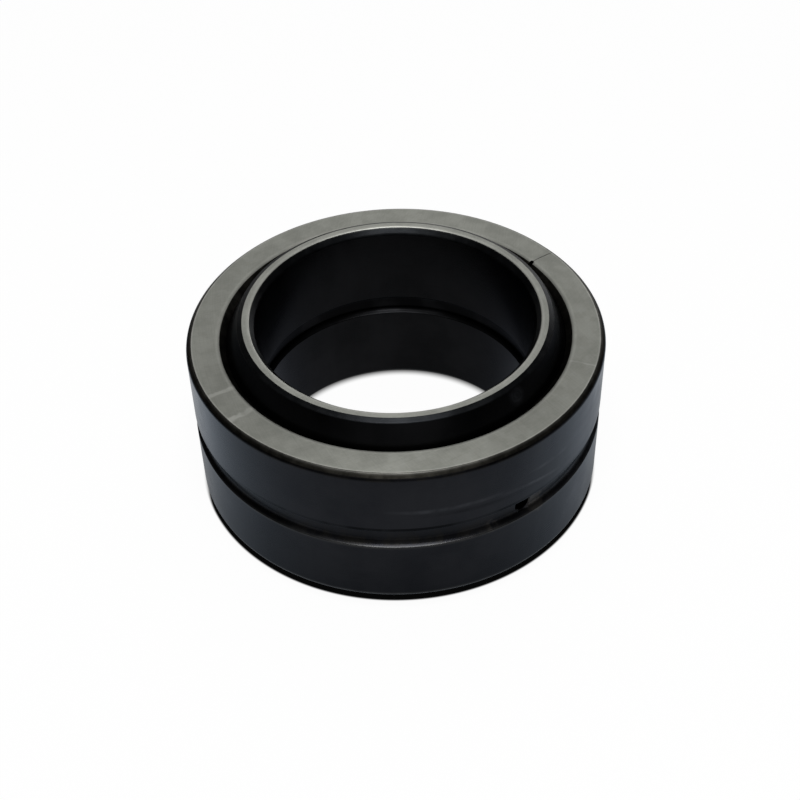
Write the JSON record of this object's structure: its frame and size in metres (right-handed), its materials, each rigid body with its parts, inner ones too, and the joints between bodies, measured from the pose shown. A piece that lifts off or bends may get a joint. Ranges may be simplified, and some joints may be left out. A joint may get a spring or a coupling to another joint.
{
  "type": "spherical plain bearing",
  "caption": "Radial spherical plain bearing: a steel inner ring with a ball-shaped outside tilts in the hollow-sphere seat of a cracked outer ring; ring grooves and radial holes for grease.",
  "frame": {"origin": "centre of the ball, where the bore axis crosses mid-width", "axes": "+Z along the shaft bore; +X is the axis of the modelled tilt"},
  "size_m": [0.09, 0.09, 0.044],
  "materials": {
    "outer_ring_steel": "hardened steel, blackened, satin, with ground grey end faces",
    "inner_ring_steel": "hardened steel, blackened, smooth, with ground grey end faces"
  },
  "bodies": {
    "outer_ring": {"outer_ring": "outer_ring_steel"},
    "inner_ring": {"inner_ring": "inner_ring_steel"}
  },
  "joints": [
    {"name": "ball_tilt", "type": "hinge", "parent": "outer_ring", "child": "inner_ring", "pos_m": [0, 0, 0], "axis": [1, 0, 0], "range_deg": [-6, 6]}
  ]
}
